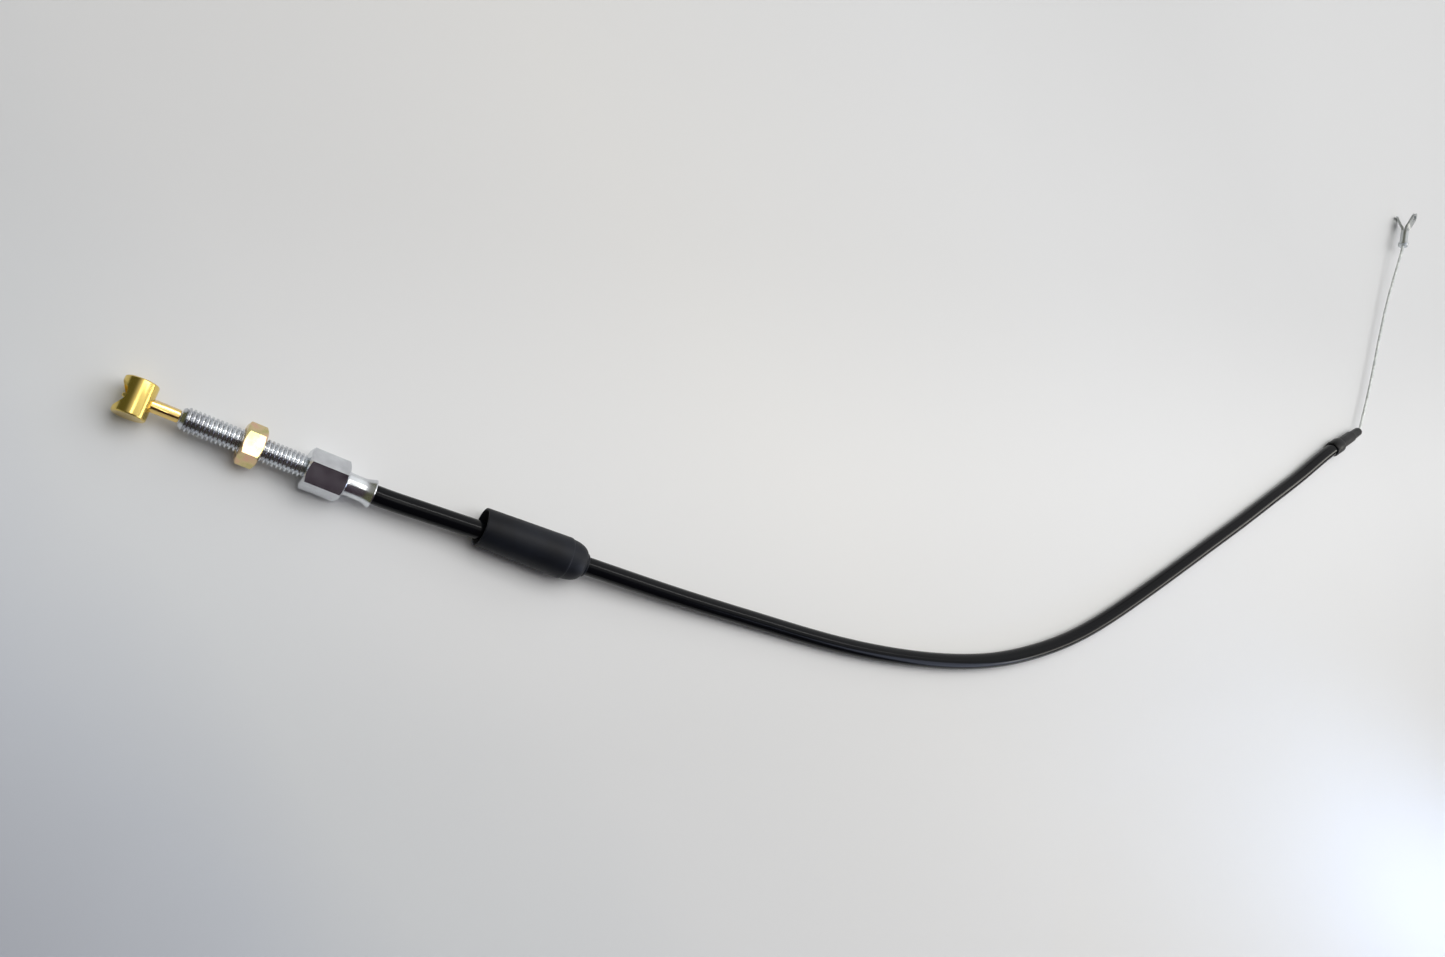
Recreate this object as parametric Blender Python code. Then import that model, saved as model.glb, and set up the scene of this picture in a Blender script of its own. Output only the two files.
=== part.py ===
"""Rear brake cable of a motorbike, lying free on a flat surface.

A steel inner wire runs in a black sheath. The front end has a brass barrel, a threaded
adjuster with a lock nut and a rubber boot. The rear end has a plastic ferrule, a stretch
of bare wire and a steel fork. Metres, +Z up, +X along the adjuster towards the sheath.
"""
import math

import bmesh
import bpy
import numpy as np
from mathutils import Vector

for old in list(bpy.data.objects):
    bpy.data.objects.remove(old, do_unlink=True)

# Driving dimensions, in metres.
GAP = 0.0003

BARREL_R = 0.00525
BARREL_LEN = 0.0120
BARREL_EDGE = 0.00035
CUP_R = 0.0044
CUP_WALL_DEPTH = 0.00255
CUP_DEPTH = 0.0030
SEAT_R = 0.0025
SEAT_DEPTH = 0.0017

END_SLEEVE_R = 0.0022
END_SLEEVE_OUT = 0.00875
WIRE_R = 0.0008
SOLDER_R = 0.0012

THREAD_R = 0.00397
THREAD_ROOT_R = 0.0033
THREAD_PITCH = 0.00141
THREAD_LEN = 0.0406
WIRE_BORE_R = 0.0012

HEX_AF = 0.0127
HEX_LEN = 0.0135
HEX_FIRST_CORNER = math.radians(-11.2)

CRIMP_LEN = 0.0099
CRIMP_R = 0.0041
CRIMP_WALL = 0.0005
CRIMP_FLAT = 0.0039
RIM_R = 0.00495
RIM_LEN = 0.0022

NUT_AF = 0.0127
NUT_LEN = 0.0067
NUT_AT = 0.0192
NUT_FIRST_CORNER = math.radians(-25.2)

SHEATH_R = 0.0034
SHEATH_WALL = 0.0006
CONDUIT_WALL = 0.0007
LINER_WALL = 0.0004
SHEATH_INSET = 0.0197

BOOT_FROM_MOUTH = 0.0394
BOOT_LEN = 0.0415
BOOT_DOME_LEN = 0.0083
BOOT_MOUTH_R = 0.0070
BOOT_R = 0.0078
BOOT_WALL = 0.0008
BOOT_NECK_R = 0.00435

FERRULE_R = 0.0042
FERRULE_MID_R = 0.0032
FERRULE_TIP_R = 0.0024
FERRULE_COLLAR = 0.0080
FERRULE_MID = 0.0125
FERRULE_TIP = 0.0083
FERRULE_DIR = math.radians(45.0)

FORK_STEM_R = 0.0021
FORK_LIP_R = 0.0028
FORK_STEM_LEN = 0.0110
FORK_EAR_LEN = 0.0118
FORK_EAR_HALF_W = 0.0026
FORK_SHEET = 0.0012
FORK_SPLAY = 0.0052
FORK_EYE_R = 0.0014

FRONT_WIRE_END = 0.0040
SIDES = 12
TURNED_SIDES = 24

# Stations along the adjuster's axis, measured from the middle of the barrel.
THREAD_X = BARREL_R + END_SLEEVE_OUT
HEX_X = THREAD_X + THREAD_LEN
CRIMP_X = HEX_X + HEX_LEN
MOUTH_X = CRIMP_X + CRIMP_LEN
SHEATH_X = MOUTH_X - SHEATH_INSET
NUT_X = THREAD_X + NUT_AT

HEX_CORNER_R = HEX_AF / 2 / math.cos(math.radians(30))
AXIS_Z = HEX_CORNER_R * math.cos(HEX_FIRST_CORNER)

# The boot lies on its own side, so its axis climbs a little towards its neck.
BOOT_X = MOUTH_X + BOOT_FROM_MOUTH
BOOT_BODY = BOOT_LEN - BOOT_DOME_LEN
BOOT_RISE = (BOOT_R - BOOT_MOUTH_R) / BOOT_BODY
BOOT_START = Vector((BOOT_X, 0.0036, BOOT_MOUTH_R))
BOOT_AXIS = Vector((1.0, 0.0207, BOOT_RISE)).normalized()
BOOT_NECK = BOOT_START + BOOT_AXIS * BOOT_LEN
BOOT_RUN = Vector((-1.0, -0.06, 0.0)).normalized()

# Sheath centre line beyond the crimp's mouth, up to the boot's neck: along, side, and the
# share of the climb to the neck.
BEND = (
    (0.0145, 0.00055, 0.5),
    (0.0270, 0.00125, 0.9),
    (0.0354, 0.00175, 1.0),
    (0.0520, 0.00275, 1.0),
    (0.0700, 0.00383, 1.0),
    (0.0804, 0.00445, 1.0),
)

# Sheath centre line from the boot's neck to the ferrule: share of the way along, share of the
# way to the side, height.
SHEATH_REACH = 0.4860
SHEATH_SIDE = 0.2246
SHEATH_LIE = 0.0035
RUN = (
    (0.0298, 0.0232, 0.0074),
    (0.0710, 0.0280, 0.0064),
    (0.1139, 0.0338, 0.0054),
    (0.1585, 0.0410, 0.0045),
    (0.2046, 0.0485, 0.0038),
    (0.2515, 0.0561, SHEATH_LIE),
    (0.2998, 0.0659, SHEATH_LIE),
    (0.3496, 0.0801, SHEATH_LIE),
    (0.4009, 0.0997, SHEATH_LIE),
    (0.4532, 0.1260, SHEATH_LIE),
    (0.5052, 0.1616, SHEATH_LIE),
    (0.5567, 0.2106, SHEATH_LIE),
    (0.6075, 0.2725, SHEATH_LIE),
    (0.6558, 0.3477, SHEATH_LIE),
    (0.7029, 0.4310, SHEATH_LIE),
    (0.7507, 0.5187, SHEATH_LIE),
    (0.7993, 0.6091, SHEATH_LIE),
    (0.8494, 0.7021, SHEATH_LIE),
    (0.8994, 0.7983, SHEATH_LIE),
    (0.9517, 0.9003, SHEATH_LIE + 0.0001),
    (1.0, 1.0, FERRULE_R),
)

# Bare wire beyond the ferrule's tip: along X, along Y, height.
BARE = (
    (0.0016, 0.0065, 0.0042),
    (0.0030, 0.0190, 0.0043),
    (0.0058, 0.0640, 0.0047),
    (0.0082, 0.0980, 0.0058),
)
FORK_SIDE = 0.0106
FORK_AWAY = 0.1264
FORK_TURN = math.radians(85.0)
FORK_TILT = math.radians(-5.0)
FORK_ROLL = math.radians(18.0)


def paint(name, colour, rough, metal):
    """One plain Principled material."""
    mat = bpy.data.materials.new(name)
    mat.use_nodes = True
    shader = mat.node_tree.nodes["Principled BSDF"]
    shader.inputs["Base Color"].default_value = (*colour, 1.0)
    shader.inputs["Roughness"].default_value = rough
    shader.inputs["Metallic"].default_value = metal
    return mat


def solid(name, verts, faces, origin, look):
    """Closed mesh object whose own origin is a point in the world."""
    mesh = bpy.data.meshes.new(name)
    mesh.from_pydata([tuple(v - origin) for v in verts], [], faces)
    work = bmesh.new()
    work.from_mesh(mesh)
    bmesh.ops.recalc_face_normals(work, faces=work.faces)
    work.to_mesh(mesh)
    work.free()
    obj = bpy.data.objects.new(name, mesh)
    obj.location = origin
    bpy.context.scene.collection.objects.link(obj)
    if look:
        mesh.materials.append(paint(name, *look))
    return obj


def bands(count, rings, loop):
    """Quads between successive rings of equal count, closed into a loop or capped."""
    faces = []
    for j in range(rings if loop else rings - 1):
        nxt = (j + 1) % rings
        for i in range(count):
            k = (i + 1) % count
            faces.append((j * count + i, j * count + k, nxt * count + k, nxt * count + i))
    if not loop:
        faces.append(tuple(range(count)))
        faces.append(tuple((rings - 1) * count + i for i in range(count)))
    return faces


def cross_axes(axis):
    """Two unit vectors across an axis: as far up as can be, then to its right."""
    side = axis.cross(Vector((0, 0, 1))).normalized()
    return side.cross(axis).normalized(), side


def turned(name, start, axis, profile, loop, look, count=TURNED_SIDES, first=0.0):
    """Solid of revolution from (distance along the axis, radius) pairs.

    A radius may be a function of the angle, measured from up towards the axis's right.
    """
    up, side = cross_axes(axis)
    verts = []
    for along, radius in profile:
        for i in range(count):
            ang = first + 2 * math.pi * i / count
            rad = radius(ang) if callable(radius) else radius
            dist = along(ang) if callable(along) else along
            verts.append(start + axis * dist + (up * math.cos(ang) + side * math.sin(ang)) * rad)
    return solid(name, verts, bands(count, len(profile), loop), start, look)


def hex_radius(apothem, first):
    """Radius of a hexagon at an angle, with a corner at the angle first."""
    def radius(ang):
        off = (ang - first) % (math.pi / 3) - math.pi / 6
        return apothem / math.cos(off)
    return radius


def chamfer_at(face, sign, flat_r, radius):
    """Distance along the axis of a hexagon's edge, where a 30 degree cone cuts it."""
    def along(ang):
        return face + sign * max(0.0, radius(ang) - flat_r) * math.tan(math.radians(30))
    return along


def cutter(target, tool, operation):
    """Boolean of a hidden tool on a target."""
    tool.hide_render = True
    tool.display_type = "WIRE"
    cut = target.modifiers.new(tool.name, "BOOLEAN")
    cut.operation = operation
    cut.solver = "EXACT"
    cut.object = tool


def smooth_path(points, start_dir, end_dir, spacing):
    """Points at even spacing on a cubic spline through the given points."""
    pts = np.array([tuple(p) for p in points])
    knots = np.concatenate([[0], np.cumsum(np.linalg.norm(np.diff(pts, axis=0), axis=1))])
    step = np.diff(knots)
    last = len(pts) - 1
    mat = np.zeros((last + 1, last + 1))
    rhs = np.zeros((last + 1, 3))
    mat[0, 0] = 1
    mat[last, last] = 1
    rhs[0] = tuple(start_dir.normalized())
    rhs[last] = tuple(end_dir.normalized())
    for i in range(1, last):
        before = step[i - 1]
        after = step[i]
        mat[i, i - 1] = after
        mat[i, i] = 2 * (before + after)
        mat[i, i + 1] = before
        rhs[i] = 3 * (after * (pts[i] - pts[i - 1]) / before + before * (pts[i + 1] - pts[i]) / after)
    slope = np.linalg.solve(mat, rhs)
    fine = []
    for i in range(last):
        for k in range(24):
            t = k / 24
            fine.append((2 * t**3 - 3 * t**2 + 1) * pts[i] + (t**3 - 2 * t**2 + t) * step[i] * slope[i]
                        + (3 * t**2 - 2 * t**3) * pts[i + 1] + (t**3 - t**2) * step[i] * slope[i + 1])
    fine.append(pts[last])
    fine = np.array(fine)
    run = np.concatenate([[0], np.cumsum(np.linalg.norm(np.diff(fine, axis=0), axis=1))])
    count = max(2, round(run[-1] / spacing))
    even = np.linspace(0, run[-1], count + 1)
    return [Vector([np.interp(s, run, fine[:, c]) for c in range(3)]) for s in even]


def tube(name, path, outer, inner, look):
    """Swept tube along a path, hollow if inner is not zero."""
    verts = []
    for radius, order in ((outer, range(len(path))), (inner, reversed(range(len(path))))):
        if radius == 0:
            continue
        for j in order:
            ahead = path[min(j + 1, len(path) - 1)]
            behind = path[max(j - 1, 0)]
            up, side = cross_axes((ahead - behind).normalized())
            for i in range(SIDES):
                ang = 2 * math.pi * i / SIDES
                verts.append(path[j] + (up * math.cos(ang) + side * math.sin(ang)) * radius)
    return solid(name, verts, bands(SIDES, len(verts) // SIDES, inner > 0), path[0], look)


def wire_curve(name, path, look):
    """Plain round wire along a path, as a curve with filled ends."""
    data = bpy.data.curves.new(name, "CURVE")
    data.dimensions = "3D"
    line = data.splines.new("POLY")
    line.points.add(len(path) - 1)
    for point, place in zip(line.points, path):
        point.co = (*(place - path[0]), 1.0)
    data.bevel_depth = WIRE_R
    data.bevel_resolution = 2
    data.use_fill_caps = True
    data.materials.append(paint(name, *look))
    obj = bpy.data.objects.new(name, data)
    obj.location = path[0]
    bpy.context.scene.collection.objects.link(obj)
    return obj


BRASS = (0.56, 0.37, 0.11)
BRIGHT_BRASS = (0.72, 0.47, 0.16)
ZINC = (0.58, 0.57, 0.60)
YELLOW_ZINC = (0.62, 0.47, 0.24)
STRAND = (0.30, 0.31, 0.31)
ALONG = Vector((1, 0, 0))
CENTRE = Vector((0, 0, AXIS_Z))

# Barrel: a brass pin across the wire, with a cup on one side where the wire is soldered in.
barrel = turned(
    "brass_barrel", CENTRE, Vector((0, 1, 0)),
    [(-BARREL_LEN / 2, BARREL_R - BARREL_EDGE), (-BARREL_LEN / 2 + BARREL_EDGE, BARREL_R),
     (BARREL_LEN / 2 - BARREL_EDGE, BARREL_R), (BARREL_LEN / 2, BARREL_R - BARREL_EDGE)],
    False, (BRASS, 0.28, 1.0), 40)
cup_cut = turned(
    "cut_cup", CENTRE, ALONG,
    [(-BARREL_R - 0.002, CUP_R), (-BARREL_R + CUP_WALL_DEPTH, CUP_R),
     (-BARREL_R + CUP_DEPTH, WIRE_BORE_R),
     (BARREL_R - SEAT_DEPTH, WIRE_BORE_R), (BARREL_R - SEAT_DEPTH, SEAT_R),
     (BARREL_R + 0.002, SEAT_R)],
    False, None)
cutter(barrel, cup_cut, "DIFFERENCE")

# Solder bead that holds the wire's end, in the bottom of the cup.
bead_x = -BARREL_R + CUP_DEPTH
turned(
    "wire_solder", CENTRE, ALONG,
    [(bead_x - 0.0017, SOLDER_R * 0.45), (bead_x - 0.0013, SOLDER_R * 0.85),
     (bead_x - 0.0006, SOLDER_R), (bead_x - 0.0003, WIRE_BORE_R * 0.9)],
    False, ((0.75, 0.66, 0.42), 0.25, 1.0), 12)

# Brass sleeve pressed on the wire behind the barrel.
sleeve_x = BARREL_R - SEAT_DEPTH + GAP
sleeve_end = THREAD_X - GAP
turned(
    "wire_end_sleeve", CENTRE, ALONG,
    [(sleeve_x, END_SLEEVE_R), (sleeve_end - 0.0005, END_SLEEVE_R),
     (sleeve_end, END_SLEEVE_R - 0.0005), (sleeve_end, WIRE_BORE_R), (sleeve_x, WIRE_BORE_R)],
    True, (BRIGHT_BRASS, 0.2, 1.0), SIDES)

# Inner wire from the barrel to a little way inside the sheath.
front_wire = [CENTRE + ALONG * x for x in (bead_x - 0.0003 + GAP, MOUTH_X + FRONT_WIRE_END)]
wire_curve("inner_wire_front", front_wire, (STRAND, 0.4, 1.0))

# Adjuster: helical thread, hexagon and crimped sleeve, bored through, in one piece.
turns = int((THREAD_LEN - 0.0016) / THREAD_PITCH)
rows = 2 * turns + 1
count = TURNED_SIDES
thread_first = THREAD_X + 0.0003
verts = []


def adjuster_ring(along, radius):
    """Append one ring of the adjuster, turned to suit the hexagon."""
    for i in range(count):
        ang = HEX_FIRST_CORNER + 2 * math.pi * i / count
        rad = radius(ang) if callable(radius) else radius
        dist = along(ang) if callable(along) else along
        verts.append(CENTRE + Vector((dist, -math.sin(ang) * rad, math.cos(ang) * rad)))


def thread_radius(row, along):
    """Crest on odd rows, root on even ones, with a lead-in at the free end."""
    lead = min(1.0, max(0.0, (along - THREAD_X) / 0.0022))
    tail = min(1.0, max(0.0, (HEX_X - 0.0003 - along) / 0.0009))
    crest = THREAD_ROOT_R + (THREAD_R - THREAD_ROOT_R) * min(lead, tail)
    return crest if row % 2 else THREAD_ROOT_R


adjuster_ring(THREAD_X, THREAD_ROOT_R - 0.0004)
adjuster_ring(thread_first, THREAD_ROOT_R)
first_row = len(verts)
for row in range(rows):
    for i in range(count):
        along = thread_first + 0.00005 + THREAD_PITCH * (i / count + row / 2)
        ang = HEX_FIRST_CORNER + 2 * math.pi * i / count
        rad = thread_radius(row, along)
        verts.append(CENTRE + Vector((along, -math.sin(ang) * rad, math.cos(ang) * rad)))
after_thread = len(verts)
hex_r = hex_radius(HEX_AF / 2, HEX_FIRST_CORNER)
hex_flat_r = HEX_AF / 2 * 0.94
bore_r = SHEATH_R + GAP
crimp_bore = CRIMP_R - CRIMP_WALL


def squeezed(ang):
    """Crimped tube, pressed flat on two sides."""
    return min(CRIMP_R, CRIMP_FLAT / max(0.2, abs(math.cos(ang - math.radians(20)))))


adjuster_ring(HEX_X, THREAD_ROOT_R)
adjuster_ring(HEX_X, hex_flat_r)
adjuster_ring(chamfer_at(HEX_X, 1, hex_flat_r, hex_r), hex_r)
adjuster_ring(chamfer_at(CRIMP_X, -1, hex_flat_r, hex_r), hex_r)
adjuster_ring(CRIMP_X, hex_flat_r)
adjuster_ring(CRIMP_X, CRIMP_R)
adjuster_ring(CRIMP_X + 0.0012, CRIMP_R)
adjuster_ring(CRIMP_X + 0.0022, squeezed)
adjuster_ring(MOUTH_X - RIM_LEN - 0.0014, squeezed)
adjuster_ring(MOUTH_X - RIM_LEN, CRIMP_R)
adjuster_ring(MOUTH_X - 0.0006, RIM_R)
adjuster_ring(MOUTH_X, RIM_R)
adjuster_ring(MOUTH_X, RIM_R - CRIMP_WALL)
adjuster_ring(MOUTH_X - 0.0006, RIM_R - CRIMP_WALL)
adjuster_ring(MOUTH_X - RIM_LEN, crimp_bore)
adjuster_ring(SHEATH_X - GAP, crimp_bore)
adjuster_ring(SHEATH_X - GAP, WIRE_BORE_R)
adjuster_ring(THREAD_X, WIRE_BORE_R)
rest = (len(verts) - after_thread) // count

faces = []
for i in range(count):
    k = (i + 1) % count
    faces.append((i, k, count + k, count + i))
for row in range(rows - 1):
    for i in range(count - 1):
        low = first_row + row * count + i
        faces.append((low, low + 1, low + 1 + count, low + count))
for row in range(rows - 3):
    low = first_row + row * count + count - 1
    high = first_row + (row + 2) * count
    faces.append((low, high, high + count, low + count))
for i in range(count - 1):
    faces.append((count + i, count + i + 1, first_row + i + 1, first_row + i))
    top = first_row + (rows - 1) * count + i
    faces.append((top, top + 1, after_thread + i + 1, after_thread + i))
faces.append((count + count - 1, count, first_row, first_row + count,
              first_row + 2 * count, first_row + count - 1))
top = first_row + (rows - 1) * count
faces.append((top - count - 1, top, after_thread, after_thread + count - 1,
              top + count - 1, top - 1))
for j in range(rest - 1):
    for i in range(count):
        k = (i + 1) % count
        base = after_thread + j * count
        faces.append((base + i, base + k, base + count + k, base + count + i))
for i in range(count):
    k = (i + 1) % count
    base = after_thread + (rest - 1) * count
    faces.append((base + i, base + k, k, i))
solid("adjuster_bolt", verts, faces, CENTRE, (ZINC, 0.25, 1.0))

# Lock nut, chamfered on both faces, bored clear of the thread's crests.
nut_r = hex_radius(NUT_AF / 2, NUT_FIRST_CORNER)
nut_flat = NUT_AF / 2 * 0.94
nut_bore = THREAD_R + GAP
turned(
    "adjuster_lock_nut", CENTRE, ALONG,
    [(NUT_X, nut_bore + 0.0005), (NUT_X, nut_flat),
     (chamfer_at(NUT_X, 1, nut_flat, nut_r), nut_r),
     (chamfer_at(NUT_X + NUT_LEN, -1, nut_flat, nut_r), nut_r),
     (NUT_X + NUT_LEN, nut_flat), (NUT_X + NUT_LEN, nut_bore + 0.0005),
     (NUT_X + NUT_LEN - 0.0005, nut_bore), (NUT_X + 0.0005, nut_bore)],
    True, (YELLOW_ZINC, 0.25, 1.0), count, NUT_FIRST_CORNER)

# Sheath: jacket, wound steel conduit and liner, one inside the other, on one path.
neck_z = BOOT_NECK.z
bend = [Vector((MOUTH_X + x, y, AXIS_Z + (neck_z - AXIS_Z) * z)) for x, y, z in BEND]
bend_x = BEND[-1][0]
run = [Vector((MOUTH_X + bend_x + (SHEATH_REACH - bend_x) * along, SHEATH_SIDE * aside, z))
       for along, aside, z in RUN]
mouth = CENTRE + ALONG * (MOUTH_X + 0.0003)
ferrule_axis = Vector((math.cos(FERRULE_DIR), math.sin(FERRULE_DIR), 0))
ferrule_start = run[-1]
sheath_stop = ferrule_start + ferrule_axis * (FERRULE_COLLAR - 0.0013)
inside = [CENTRE + ALONG * SHEATH_X, CENTRE + ALONG * (SHEATH_X + SHEATH_INSET / 2)]
free = smooth_path([mouth] + bend + run, ALONG, ferrule_axis, 0.0150)
path = inside + free + [sheath_stop]
conduit_r = SHEATH_R - SHEATH_WALL - GAP
liner_r = conduit_r - CONDUIT_WALL - GAP
tube("outer_sheath", path, SHEATH_R, SHEATH_R - SHEATH_WALL, ((0.02, 0.02, 0.022), 0.35, 0.0))
tube("spiral_conduit", path, conduit_r, conduit_r - CONDUIT_WALL, ((0.35, 0.35, 0.36), 0.4, 1.0))
tube("sheath_liner", path, liner_r, liner_r - LINER_WALL, ((0.75, 0.75, 0.72), 0.5, 0.0))

# Rubber boot: open mouth, domed end, and a neck that slides on the sheath.
neck_bore = SHEATH_R + 0.00045
boot_inner = BOOT_BODY + BOOT_DOME_LEN * 0.15
shell = [(0.0, BOOT_MOUTH_R), (BOOT_BODY * 0.5, (BOOT_MOUTH_R + BOOT_R) / 2), (BOOT_BODY, BOOT_R),
         (BOOT_BODY + 0.0004, BOOT_R - 0.00035)]
for step in range(1, 6):
    ang = math.radians(14 * step)
    shell.append((BOOT_BODY + 0.0004 + (BOOT_DOME_LEN - 0.0014) * math.sin(ang),
                  BOOT_NECK_R + (BOOT_R - 0.00035 - BOOT_NECK_R) * math.cos(ang)))
shell += [(BOOT_LEN - 0.0009, BOOT_NECK_R), (BOOT_LEN, BOOT_NECK_R), (BOOT_LEN, neck_bore),
          (BOOT_LEN - 0.0022, neck_bore), (BOOT_LEN - 0.0040, neck_bore + 0.0012),
          (boot_inner + 0.0008, BOOT_R - 0.0026), (boot_inner - 0.0014, BOOT_R - BOOT_WALL - 0.0003),
          (0.0, BOOT_MOUTH_R - BOOT_WALL)]
turned("rubber_boot", BOOT_START, BOOT_AXIS, shell, True, ((0.035, 0.04, 0.055), 0.6, 0.0), 28)

# Ferrule: collar over the sheath's end, then two smaller steps to the wire's way out.
collar_bore = SHEATH_R + GAP
tip_at = FERRULE_COLLAR + FERRULE_MID + FERRULE_TIP
ferrule_profile = [
    (0.0, FERRULE_R - 0.0004), (0.0005, FERRULE_R), (FERRULE_COLLAR - 0.0006, FERRULE_R),
    (FERRULE_COLLAR, FERRULE_R - 0.0005), (FERRULE_COLLAR, FERRULE_MID_R),
    (FERRULE_COLLAR + FERRULE_MID, FERRULE_MID_R - 0.0001),
    (FERRULE_COLLAR + FERRULE_MID + 0.0008, FERRULE_TIP_R + 0.0002),
    (tip_at - 0.0006, FERRULE_TIP_R), (tip_at, FERRULE_TIP_R - 0.0005), (tip_at, WIRE_BORE_R),
    (FERRULE_COLLAR - 0.0010, WIRE_BORE_R), (FERRULE_COLLAR - 0.0010, collar_bore),
    (0.0, collar_bore)]
turned("end_ferrule", ferrule_start, ferrule_axis, ferrule_profile, True,
       ((0.025, 0.025, 0.028), 0.45, 0.0))
ferrule_tip = ferrule_start + ferrule_axis * tip_at

# Inner wire inside the sheath and the ferrule.
held = [CENTRE + ALONG * (MOUTH_X + FRONT_WIRE_END + GAP)]
held += [p for p in free if p.x > held[0].x + 0.004] + [sheath_stop, ferrule_tip - ferrule_axis * GAP]
wire_curve("inner_wire_held", held, (STRAND, 0.4, 1.0))

# Fork: swaged stem with a lip, and two splayed sheet ears with an eye in each.
flat_dir = Vector((math.cos(FORK_TURN), math.sin(FORK_TURN), 0))
fork_axis = flat_dir * math.cos(FORK_TILT) + Vector((0, 0, math.sin(FORK_TILT)))
fork_up, fork_side = cross_axes(fork_axis)
splay = fork_up * math.cos(FORK_ROLL) + fork_side * math.sin(FORK_ROLL)
across = fork_axis.cross(splay)


def ear_points(sign):
    """Ear as a bent strip with a round end, relative to the fork's crotch."""
    half = FORK_SHEET / 2
    line = [(-0.0024, 0.0007), (0.0004, 0.0008), (0.0022, 0.00115), (0.0045, 0.0020)]
    end = FORK_EAR_LEN
    for back in (0.0052, 0.0026, 0.0014, 0.0005, 0.0):
        line.append((end - back, FORK_SPLAY - back * 0.44))
    points = []
    for j, (along, out) in enumerate(line):
        ahead = line[min(j + 1, len(line) - 1)]
        behind = line[max(j - 1, 0)]
        lean = Vector((ahead[0] - behind[0], ahead[1] - behind[1])).normalized()
        back = (end - along) * 1.1
        wide = FORK_EAR_HALF_W
        if back < wide:
            wide = math.sqrt(max(0.0, wide**2 - (wide - back) ** 2))
        wide = max(0.0008, min(wide, FORK_STEM_R * 0.8 + max(0.0, along) * 0.3))
        for thick, broad in ((1, 1), (1, -1), (-1, -1), (-1, 1)):
            u = along - lean.y * half * thick
            v = out + lean.x * half * thick
            points.append(fork_axis * u + splay * (sign * v) + across * (wide * broad))
    return points


ear_low = min(p.z for p in ear_points(-1))
crotch_z = -ear_low
fork_z = crotch_z - fork_axis.z * FORK_STEM_LEN
fork_start = Vector((ferrule_tip.x + FORK_SIDE, ferrule_tip.y + FORK_AWAY, fork_z))
crotch = fork_start + fork_axis * FORK_STEM_LEN
fork = turned(
    "fork_end", fork_start, fork_axis,
    [(0.0, FORK_LIP_R - 0.0005), (0.0004, FORK_LIP_R), (0.0016, FORK_LIP_R),
     (0.0021, FORK_STEM_R), (FORK_STEM_LEN - 0.0010, FORK_STEM_R),
     (FORK_STEM_LEN + 0.0006, FORK_STEM_R * 0.72)],
    False, ((0.42, 0.43, 0.44), 0.35, 1.0), 16)
for label, sign in (("upper", 1), ("lower", -1)):
    points = [crotch + p for p in ear_points(sign)]
    ear = solid("tool_ear_" + label, points, bands(4, len(points) // 4, False), crotch, None)
    cutter(fork, ear, "UNION")
for label, sign in (("upper", 1), ("lower", -1)):
    eye_at = FORK_EAR_LEN - FORK_EAR_HALF_W
    eye_out = FORK_SPLAY - FORK_EAR_HALF_W * 0.44
    eye = crotch + fork_axis * eye_at + splay * (sign * eye_out)
    lean = (splay * sign - fork_axis * 0.44).normalized()
    tool = turned("cut_eye_" + label, eye - lean * 0.002, lean,
                  [(0.0, FORK_EYE_R), (0.004, FORK_EYE_R)], False, None, 16)
    cutter(fork, tool, "DIFFERENCE")

# Bare inner wire between the ferrule and the fork.
bare_points = [ferrule_tip + ferrule_axis * GAP]
bare_points += [Vector((ferrule_tip.x + x, ferrule_tip.y + y, z)) for x, y, z in BARE]
bare_points.append(fork_start - fork_axis * GAP)
bare_end = Vector((flat_dir.x, flat_dir.y, 0.02))
bare = smooth_path(bare_points, Vector((0.5, 1.0, 0.0)), bare_end, 0.0045)
wire_curve("inner_wire_bare", bare, (STRAND, 0.4, 1.0))

# Origin under the middle of all that is not free cord.
CORD = ("outer_sheath", "spiral_conduit", "sheath_liner", "inner_wire_held", "inner_wire_bare")
bpy.context.view_layer.update()
low = Vector((1e9, 1e9, 1e9))
high = -low
depsgraph = bpy.context.evaluated_depsgraph_get()
for obj in bpy.data.objects:
    if obj.hide_render or obj.name in CORD:
        continue
    shape = obj.evaluated_get(depsgraph).to_mesh()
    for vert in shape.vertices:
        place = obj.matrix_world @ vert.co
        low = Vector([min(a, b) for a, b in zip(low, place)])
        high = Vector([max(a, b) for a, b in zip(high, place)])
shift = Vector(((low.x + high.x) / 2, (low.y + high.y) / 2, low.z))
for obj in bpy.data.objects:
    obj.location -= shift
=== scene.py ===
import math

import bmesh
import bpy
import numpy as np
from mathutils import Matrix, Vector


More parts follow.
